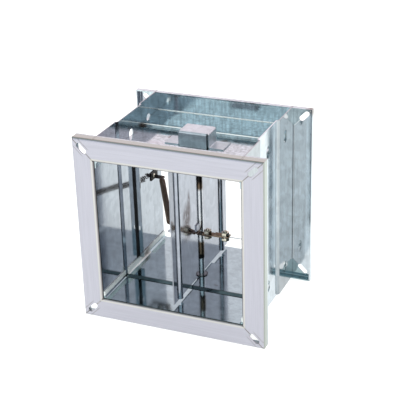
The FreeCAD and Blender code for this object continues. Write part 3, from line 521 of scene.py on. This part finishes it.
def lay_floor():
    """Large floor just under the damper."""
    under = 0.2 * MM
    bm = bmesh.new()
    bmesh.ops.create_grid(bm, x_segments=1, y_segments=1, size=6.0)
    bmesh.ops.translate(bm, verts=bm.verts, vec=(0, 0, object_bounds()[0].z - under))
    mesh = bpy.data.meshes.new("studio_floor")
    bm.to_mesh(mesh)
    bm.free()
    mesh.materials.append(matt_floor_paint("studio_floor"))
    floor = bpy.data.objects.new("studio_floor", mesh)
    bpy.context.scene.collection.objects.link(floor)
    floor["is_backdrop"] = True


def light_room():
    """White room, which lends the metal a faint lavender, or a bluish white from the front, and is dim overhead."""
    paint = colours()
    world = bpy.data.worlds.new("studio")
    bpy.context.scene.world = world
    world.use_nodes = True
    tree = world.node_tree
    tree.nodes.clear()
    way = add(tree, "TexCoord", out="Generated")
    front = add(tree, "MapRange", {0: add(tree, "SeparateXYZ", {0: way}, out=1), 1: -0.2, 2: -0.6})
    overhead = add(tree, "MapRange", {0: add(tree, "SeparateXYZ", {0: way}, out=2), 1: 0.55, 2: 0.75})
    walls = painted(tree, opaque(paint.room), opaque(paint.room_front), front)
    walls = painted(tree, walls, opaque(paint.ceiling), overhead)
    mirrored = add(tree, "Background", {"Color": walls, "Strength": 1.35})
    spread = add(tree, "Background", {"Color": opaque(paint.floor), "Strength": 1.6})
    seen = add(tree, "Background", {"Color": opaque(paint.floor), "Strength": 1.0})
    lit = add(tree, "MixShader", {0: add(tree, "LightPath", out="Is Diffuse Ray"), 1: mirrored, 2: spread})
    room = add(tree, "MixShader", {0: add(tree, "LightPath", out="Is Camera Ray"), 1: lit, 2: seen})
    add(tree, "OutputWorld", {"Surface": room})


def hang_lamps():
    """Two soft lamps on the camera's side: name, place and width in metres, and power in watts."""
    aim = Vector((0, 0, AXIS * MM))
    for name, place, width, power in (("key_light", (-1.6, -1.6, 2.0), 1.6, 15.0),
                                      ("fill_light", (2.0, -1.8, 1.2), 1.8, 8.0)):
        lamp = bpy.data.lights.new(name, "AREA")
        lamp.size = width
        lamp.energy = power
        light = bpy.data.objects.new(name, lamp)
        light.location = place
        light.rotation_euler = (aim - Vector(place)).to_track_quat("-Z", "Y").to_euler()
        light.visible_glossy = False
        bpy.context.scene.collection.objects.link(light)


def set_camera():
    """Camera fitted to the photograph: place in metres, angles in degrees and lens in millimetres."""
    lens = bpy.data.cameras.new("camera")
    lens.sensor_width = 36.0
    lens.lens = 100.67
    lens.clip_start = 0.05
    lens.clip_end = 50.0
    camera = bpy.data.objects.new("camera", lens)
    camera.location = (0.54626, -1.25312, 0.78110)
    camera.rotation_euler = [math.radians(angle) for angle in (65.1343, 1.5820, 22.7125)]
    bpy.context.scene.collection.objects.link(camera)
    bpy.context.scene.camera = camera


class SetStage(bpy.types.Operator):
    """Pale floor, soft light and the camera at the photograph's angle"""
    bl_idname = "damper.set_stage"
    bl_label = "Set stage"

    def execute(self, context):
        lay_floor()
        light_room()
        hang_lamps()
        context.scene.view_settings.view_transform = "Standard"
        set_camera()
        return {"FINISHED"}


# Finishes of the CAD pieces

class FinishSheet(bpy.types.Operator):
    """Galvanised finish of the walls, panels, stops, cover box and blade"""
    bl_idname = "damper.finish_sheet"
    bl_label = "Finish sheet metal"

    def finish_walls(self, collar_weld, seam_weld):
        """Walls and stops. The right wall has a long faint smudge, and painted shade on the flat beside its band."""
        paint = colours()
        floor_weld = (paint.burn, (-98, 39, GROUND), 5, 0.8)
        wall_smudge = (paint.smudge, (132, 52, 175), (12, 5, 55), 0.35)
        coat(galvanised_sheet("galvanised_left_wall", "z", paint.zinc_inside, [seam_weld, floor_weld]),
             "left_side_wall", "left_stop_angle", "right_stop_angle")
        # The zone on the right wall is painted shade: the flat beside the band made darker.
        coat(galvanised_sheet("galvanised_right_wall", "z", paint.zinc_bright, [collar_weld, wall_smudge],
                              [("x", CLEAR - 1, CLEAR + 3, 0.62)]), "right_side_wall")

    def finish_panels(self, collar_weld, seam_weld):
        """Top panel with its welds, a patch in the front face's colour and pale matt folds with a painted highlight,
        cover box, and floor with its painted band shadow and pale matt edges with a painted highlight.
        """
        paint = colours()
        cover_welds = [(paint.burn, (-41, 14, ROOF), 7, 0.9), (paint.burn, (31, 23.6, ROOF), 8, 0.7)]
        # A patch in the front face's colour on the top panel; only its colour changes.
        lavender_patch = (paint.zinc_front, (-54, -13, ROOF), (22, 12, 8), 0.5)
        # Pale matt zones along the top panel's folds; their pale colour is a painted highlight.
        collar_fold = (("y", REAR - 4, REAR - 0.5), ("z", ROOF - 0.5, ROOF + 3.5))
        band_fold = (("y", BAND_REAR - 1, BAND_REAR + 0.6), ("z", ROOF - 0.5, ROOF + 7.5))
        coat(galvanised_sheet("galvanised_top_panel", "x", paint.zinc,
                              cover_welds + [seam_weld, lavender_patch, collar_weld],
                              pale_highlights=[collar_fold, band_fold], strokes=0.22), "top_panel")
        coat(galvanised_sheet("galvanised_cover", "x", paint.cover, gloss=0.35), "cover_box")

        edge_weld = (paint.burn, (-97, 30, GROUND + 5), (7, 24, 9), 0.85)
        scratch = (paint.burn, (31, -19, GROUND), (4, 1.5, 2), 0.9)
        band_shadow = ("y", BAND_FRONT - 2, BAND_FRONT + 4, 0.35)
        above_floor = ("z", GROUND + 0.6, GROUND + 27)
        # Pale matt zones along the floor's upturned edges; their pale colour is a painted highlight.
        upturned = [(("x", low, low + 10), above_floor) for low in (-CLEAR - 1, CLEAR - 9)]
        coat(galvanised_sheet("galvanised_bottom_panel", "x", paint.zinc_floor, [edge_weld, scratch],
                              [band_shadow], upturned), "bottom_panel")

    def finish_blade(self):
        """Blade with the brushed smudge of its right face, and painted shade along its front edge."""
        paint = colours()
        face = GAUGE / 2
        smudges = [(paint.smudge, (face, -41, 140), (1.4, 18, 26), 1.0),
                   (paint.smudge, (face, -33, 158), (1.4, 6, 22), 0.9),
                   (paint.smudge, (face, -40, 112), (1.4, 18, 9), 0.6)]
        # The zone along the blade's front edge is painted shade: that strip made darker.
        coat(galvanised_sheet("galvanised_blade", "z", paint.zinc_blade, smudges,
                              [("y", -92.0, -76.0, 0.85)], gloss=0.11), "blade_plate")

    def execute(self, context):
        paint = colours()
        collar_weld = (paint.burn, (130, 98, 258), 12, 0.9)
        seam_weld = (paint.burn, (-96, 39, ROOF), 8, 0.9)
        self.finish_walls(collar_weld, seam_weld)
        self.finish_panels(collar_weld, seam_weld)
        self.finish_blade()
        # Galvanised strip darkened by heat: dull and brown, but for its foot.
        coat(worked_metal("dull_galvanised_arm", paint.arm, 0.35, "x", tint=zinc_foot), "link_arm")
        # Fresh zinc on small tabs: bright, with fine lines.
        coat(worked_metal("bright_zinc_tab", paint.steel, 0.25, "x"), "wire_anchor", "spring_lug")
        coat(graphite_seal("graphite_seal"), "left_seal_strip", "right_seal_strip")
        return {"FINISHED"}


class FinishShaft(bpy.types.Operator):
    """Drawn steel shaft with its heat marks, bushes, washer, clips and the black spring bracket"""
    bl_idname = "damper.finish_shaft"
    bl_label = "Finish shaft and bearings"

    def execute(self, context):
        paint = colours()
        # Cold drawn steel: a bright line down the bar where heat hasn't blackened it.
        coat(worked_metal("drawn_steel_shaft", paint.steel, 0.25, tint=heat_tint), "shaft")
        # Turned steel: smooth and grey, with painted shade on its rim.
        coat(worked_metal("steel_bush_shaded_rim", paint.bush, 0.2, tint=shaded_rim), "upper_bush", "lower_bush")
        # Ground steel: bright and even.
        coat(worked_metal("bright_steel_washer", paint.steel, 0.3), "thrust_washer")
        # Phosphated and blackened steel: nearly black, with a dull sheen.
        coat(worked_metal("phosphated_clip", paint.scale, 0.45), "upper_retaining_clip", "lower_retaining_clip")
        coat(worked_metal("blackened_tab", paint.scale, 0.5), "spring_bracket")
        return {"FINISHED"}


# New pieces

class SetRivet(bpy.types.Operator):
    """Round-headed rivet that holds the spring bracket on the wall"""
    bl_idname = "damper.set_rivet"
    bl_label = "Set bracket rivet"

    def execute(self, context):
        given = sizes()
        hole = joint_place("spring_swing")
        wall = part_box("spring_bracket")[0].x
        foot, sunk = given.tab_gauge, 0.1 * MM
        dome = [(given.rivet_head * math.cos(angle), foot + given.rivet_dome * math.sin(angle))
                for angle in (0, 0.3, 0.6, 0.9, 1.2)]
        bm = bmesh.new()
        turn(bm, [(0, sunk), (given.rivet_stem, sunk), (given.rivet_stem, foot)] + dome
             + [(0, foot + given.rivet_dome)], (0, 0), 32)
        centre = Vector((wall, hole.y - given.rivet_distance, hole.z + given.rivet_rise))
        lay = Matrix.Translation(centre) @ Matrix.Rotation(math.pi / 2, 4, "Y")
        bmesh.ops.transform(bm, verts=bm.verts, matrix=lay)
        # Zinc plated steel, warm and bright with a faint cloud.
        plated = worked_metal("zinc_plated_rivet", colours().plated, 0.25)
        finished(bm, "bracket_rivet", plated, "casing", "plated_fastener")
        return {"FINISHED"}


def hook(bm, given, radius, neck, loop):
    """Wire from a coil's first turn to its eye: a small bend, a lean back to the middle, and the eye."""
    tight, wide = 1.6 * MM, 4.0 * MM
    lean = math.acos(wide / (wide + tight))
    upright = Matrix.Translation((radius, 0, neck)) @ Matrix.Rotation(math.pi / 2, 4, "X")
    edges = ring(bm, given.spring_wire / 2, WIRE_SIDES, upright)
    edges = bend(bm, edges, (radius, 0, neck - tight), (1, 0, 0), 90 + math.degrees(lean), 8)
    level = neck - tight - tight * math.sin(lean) - wide * math.sin(lean)
    edges = bend(bm, edges, (radius, -wide, level), (1, 0, 0), -math.degrees(lean), 5)
    edges = run(bm, edges, (0, 0, radius - level))
    edges = bend(bm, edges, (0, 0, radius), (0, 1, 0), 180, 18)
    if loop > 2 * radius:
        edges = run(bm, edges, (0, 0, loop - 2 * radius))
    bend(bm, edges, (0, 0, loop - radius), (0, 1, 0), 120, 12)


def coil(bm, given, radius, reach):
    """The spring's turns along z, from the bracket's neck to the lug's."""
    steps = 24 * given.spring_turns
    upright = Matrix.Translation((radius, 0, given.spring_neck)) @ Matrix.Rotation(math.pi / 2, 4, "X")
    first = ring(bm, given.spring_wire / 2, WIRE_SIDES, upright)
    bend(bm, first, (0, 0, 0), (0, 0, 1), 360 * given.spring_turns, steps,
         (0, 0, (reach - given.lug_neck - given.spring_neck) / steps))


class WindSpring(bpy.types.Operator):
    """Closing spring as a round wire coil with a hook at the bracket and a long loop at the lug"""
    bl_idname = "damper.wind_spring"
    bl_label = "Wind closing spring"

    def execute(self, context):
        given = sizes()
        radius = (given.spring_width - given.spring_wire) / 2
        start, pivot = joint_place("spring_swing"), joint_place("blade_swing")
        end = Vector((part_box("spring_lug")[0].x + given.tab_nose, middle_of("spring_lug").y, start.z))
        reach = (end - start).length
        # The coil's own z lies along the line from bracket to lug, with its eyes upright.
        along = (end - start).normalized()
        aside = along.cross(Vector((0, 0, 1))).normalized()
        lay = Matrix.Translation(start) @ Matrix((aside.cross(along), aside, along)).transposed().to_4x4()
        # Oil-blackened spring steel: dark brown, with a narrow shine along each turn.
        oiled = worked_metal("oiled_spring_steel", colours().spring, 0.35)

        # The hook is a piece of its own, because it stays round in the bracket while the coil shortens.
        bm = bmesh.new()
        hook(bm, given, radius, given.spring_neck, 2 * radius)
        close_ends(bm)
        bmesh.ops.transform(bm, verts=bm.verts, matrix=lay)
        finished(bm, "closing_spring_hook", oiled, "spring", "oiled_spring_steel")

        bm = bmesh.new()
        hook(bm, given, radius, given.lug_neck, given.lug_loop)
        bmesh.ops.rotate(bm, verts=bm.verts, cent=(0, 0, reach / 2), matrix=Matrix.Rotation(math.pi, 3, "X"))
        coil(bm, given, radius, reach)
        bmesh.ops.remove_doubles(bm, verts=bm.verts, dist=0.01 * MM)
        close_ends(bm)
        bmesh.ops.transform(bm, verts=bm.verts, matrix=lay)
        turns = finished(bm, "closing_spring_coil", oiled, "spring", "oiled_spring_steel", "closing_spring")
        # The joint's limit lies a little past the closed blade, where the coil would be a little shorter still; this
        # point is worked out, but the coil is not changed for it.
        closed = pivot + Matrix.Rotation(-math.pi / 2, 3, "Z") @ (end - pivot)
        closed.z = start.z
        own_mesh(turns)
        return {"FINISHED"}


class BendHoldWire(bpy.types.Operator):
    """Hold-open wire: an eye round the outer bolt, a straight run and a turned-down end"""
    bl_idname = "damper.bend_hold_wire"
    bl_label = "Bend hold-open wire"

    def execute(self, context):
        given = sizes()
        low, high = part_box("hold_open_wire")
        bolt = middle_of("outer_link_bolt")
        radius = given.hold_wire / 2
        level = high.z - radius
        eye, elbow, neck = given.hold_eye, given.hold_elbow, 1.2 * MM
        leave = math.asin(neck / (eye + neck))
        centre = Vector((bolt.x, bolt.y, level))
        lay = Matrix.Translation(centre) @ Matrix.Rotation(leave, 4, "Z")
        upright = Matrix.Translation((eye, 0, 0)) @ Matrix.Rotation(math.pi / 2, 4, "X")
        bm = bmesh.new()
        start = ring(bm, radius, 12, lay @ upright)
        bend(bm, start, centre, (0, 0, 1), 300 - math.degrees(leave), 30)
        outer = centre + Matrix.Rotation(leave, 3, "Z") @ Vector((eye + neck, 0, 0))
        end = bend(bm, start, outer, (0, 0, 1), 90 - math.degrees(leave), 8)
        elbow_x = high.x - radius - elbow
        end = run(bm, end, (elbow_x - outer.x, 0, 0))
        end = bend(bm, end, (elbow_x, bolt.y, level - elbow), (0, 1, 0), 90, 8)
        run(bm, end, (0, 0, low.z - (level - elbow)))
        close_ends(bm)
        # Bright drawn wire: a thin line of light along it.
        bright = worked_metal("bright_drawn_wire", colours().steel, 0.25, "x", 0.3)
        finished(bm, "hold_open_wire_round", bright, "casing", "bright_steel", "hold_open_wire")
        return {"FINISHED"}


def hexagon_block(bm, centre, low, high, half_flats, chamfer):
    """Hexagonal block with flats facing along y and both rims chamfered."""
    corner = half_flats / math.cos(math.pi / 6)
    place = Matrix.Translation((centre.x, centre.y, (low + high) / 2)) @ Matrix.Rotation(math.pi / 2, 4, "Z")
    made = bmesh.ops.create_cone(bm, cap_ends=True, segments=6, radius1=corner, radius2=corner, depth=high - low,
                                 matrix=place)
    flat = chamfer / 100
    rims = [edge for edge in {e for vert in made["verts"] for e in vert.link_edges}
            if abs(edge.verts[0].co.z - edge.verts[1].co.z) < flat]
    bmesh.ops.bevel(bm, geom=rims, offset=chamfer, segments=3, profile=0.5, affect="EDGES", material=-1)


def threaded_stem(bm, given, centre, head_top, thread_low, tip):
    """Stem sunk into the head, plain as far as the nut and threaded from there to its chamfered tip."""
    radius, pitch = given.thread_width / 2, given.thread_pitch
    core, plain = radius - 0.6 * pitch, radius - 0.1 * MM
    sunk, chamfer, steps = 0.2 * MM, 0.4 * MM, 24
    turn(bm, [(0, head_top - sunk), (plain, head_top - sunk), (plain, thread_low), (core, thread_low),
              (core, tip - chamfer), (core - chamfer, tip), (0, tip)], centre)
    turns = int((tip - chamfer - thread_low) / pitch) - 1
    profile = [bm.verts.new((centre.x + out, centre.y, thread_low + up)) for out, up in
               ((core, 0), (radius, pitch / 2), (core, pitch))]
    edges = [bm.edges.new(pair) for pair in zip(profile, profile[1:])]
    bmesh.ops.spin(bm, geom=profile + edges, cent=centre, axis=(0, 0, 1), dvec=(0, 0, pitch / steps),
                   angle=2 * math.pi * turns, steps=steps * turns, use_duplicate=False)


class MakeFasteners(bpy.types.Operator):
    """Link bolts with threads and chamfered heads, and their nuts"""
    bl_idname = "damper.make_fasteners"
    bl_label = "Make link fasteners"

    def execute(self, context):
        given = sizes()
        # Zinc plated steel, warm and bright with a faint cloud.
        plated = worked_metal("zinc_plated_fastener", colours().plated, 0.25)
        coat(plated, "outer_link_washer")
        for bolt, nut, body in (("inner_link_bolt", "inner_link_nut", "blade"),
                                ("outer_link_bolt", "outer_link_nut", "casing")):
            low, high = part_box(bolt)
            nut_low, nut_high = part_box(nut)
            centre = middle_of(bolt)
            half_flats = (high.y - low.y) / 2
            head_top = low.z + given.bolt_head
            bm = bmesh.new()
            hexagon_block(bm, centre, low.z, head_top, half_flats, given.hexagon_chamfer)
            threaded_stem(bm, given, centre, head_top, nut_low.z, high.z)
            finished(bm, bolt + "_threaded", plated, body, "plated_fastener", bolt, smooth=30)
            bm = bmesh.new()
            hexagon_block(bm, centre, nut_low.z, nut_high.z, half_flats, given.hexagon_chamfer)
            finished(bm, nut + "_chamfered", plated, body, "plated_fastener", nut, smooth=30)
        return {"FINISHED"}


class FinishLink(bpy.types.Operator):
    """Brass finish of the fusible link's two halves, and the solder between them"""
    bl_idname = "damper.finish_link"
    bl_label = "Finish fusible link"

    def execute(self, context):
        given = sizes()
        # Tarnished brass strip: brown and uneven, with rolled lines along it.
        coat(worked_metal("tarnished_brass_link", colours().brass, 0.35, "x", 0.5, contrast=0.3),
             "inner_link_plate", "outer_link_plate")
        inner_low, inner_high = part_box("inner_link_plate")
        outer_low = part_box("outer_link_plate")[0]
        end_margin, side_margin = 0.3 * MM, 0.4 * MM
        low = Vector((outer_low.x + end_margin, inner_low.y + side_margin, inner_high.z))
        high = Vector((inner_high.x - end_margin, inner_high.y - side_margin, inner_high.z + given.solder_gap))
        bm = bmesh.new()
        scaled = Matrix.Translation((low + high) / 2) @ Matrix.Diagonal((*(high - low), 1))
        bmesh.ops.create_cube(bm, size=1.0, matrix=scaled)
        corners = [edge for edge in bm.edges if abs(edge.verts[0].co.z - edge.verts[1].co.z) > given.solder_gap / 2]
        bmesh.ops.bevel(bm, geom=corners, offset=1.5 * MM, segments=6, profile=0.5, affect="EDGES", material=-1)
        # Soft solder: a thin silvery line between the halves.
        solder = worked_metal("soft_solder", colours().steel, 0.4, "x", 0.3)
        finished(bm, "link_solder", solder, "blade", "plated_fastener")
        return {"FINISHED"}


class DamperPanel(bpy.types.Panel):
    """Lists the operators that dress the damper"""
    bl_idname = "VIEW3D_PT_damper"
    bl_label = "Fire damper"
    bl_space_type = "VIEW_3D"
    bl_region_type = "UI"
    bl_category = "Damper"

    def draw(self, context):
        for step in STEPS:
            self.layout.operator(step.bl_idname)


STEPS = (SetStage, FinishSheet, FinishShaft, SetRivet, WindSpring, BendHoldWire, MakeFasteners, FinishLink)
CLASSES = (DamperSizes, DamperColours) + STEPS + (DamperPanel,)


def register():
    for kind in CLASSES:
        bpy.utils.register_class(kind)
    bpy.types.Scene.damper_sizes = PointerProperty(type=DamperSizes)
    bpy.types.Scene.damper_colours = PointerProperty(type=DamperColours)


def unregister():
    del bpy.types.Scene.damper_colours
    del bpy.types.Scene.damper_sizes
    for kind in reversed(CLASSES):
        bpy.utils.unregister_class(kind)


def main():
    register()
    for step in STEPS:
        group, name = step.bl_idname.split(".")
        getattr(getattr(bpy.ops, group), name)()


if __name__ == "__main__":
    main()
